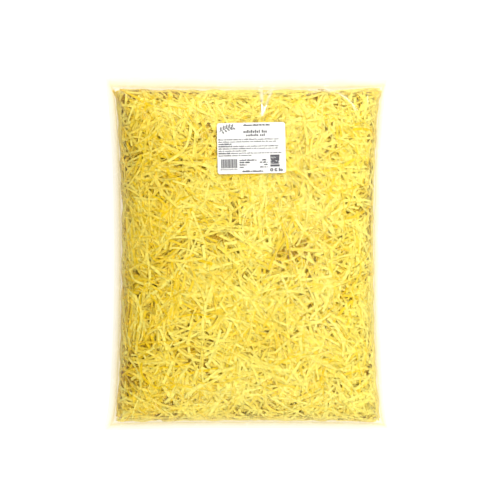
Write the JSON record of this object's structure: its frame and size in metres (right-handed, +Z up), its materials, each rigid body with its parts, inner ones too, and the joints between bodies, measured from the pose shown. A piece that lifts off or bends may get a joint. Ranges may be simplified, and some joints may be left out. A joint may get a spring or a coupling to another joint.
{
  "type": "bag of shredded paper filler",
  "caption": "Clear sealed pillow bag filled with pale yellow shredded paper strips, with a white printed label near the top edge, lying flat on its back.",
  "frame": {"origin": "middle of the bag's footprint at floor level, with the bag lying on its back", "axes": "+X across the bag, +Y towards the labelled top end, +Z up through the label side"},
  "size_m": [0.413, 0.521, 0.116],
  "materials": {
    "film": "clear glossy polythene film",
    "label_paper": "smooth white sticker paper with grey print",
    "label_glue": "thin clear adhesive",
    "loose_shred": "packed shredded paper in shade",
    "paper_strip": "matt pale yellow paper"
  },
  "bodies": {
    "root": {"film_back": "film", "film_front": "film", "label_adhesive": "label_glue", "label_face": "label_paper", "shred_core": "loose_shred", "strips_back_bottom_left": "paper_strip", "strips_back_bottom_right": "paper_strip", "strips_back_middle_left": "paper_strip", "strips_back_middle_right": "paper_strip", "strips_back_top_left": "paper_strip", "strips_back_top_right": "paper_strip", "strips_bottom_edge": "paper_strip", "strips_front_bottom_left": "paper_strip", "strips_front_bottom_middle": "paper_strip", "strips_front_bottom_right": "paper_strip", "strips_front_lower_left": "paper_strip", "strips_front_lower_middle": "paper_strip", "strips_front_lower_right": "paper_strip", "strips_front_top_left": "paper_strip", "strips_front_top_middle": "paper_strip", "strips_front_top_right": "paper_strip", "strips_front_upper_left": "paper_strip", "strips_front_upper_middle": "paper_strip", "strips_front_upper_right": "paper_strip", "strips_left_edge": "paper_strip", "strips_right_edge": "paper_strip", "strips_top_edge": "paper_strip"}
  },
  "joints": []
}
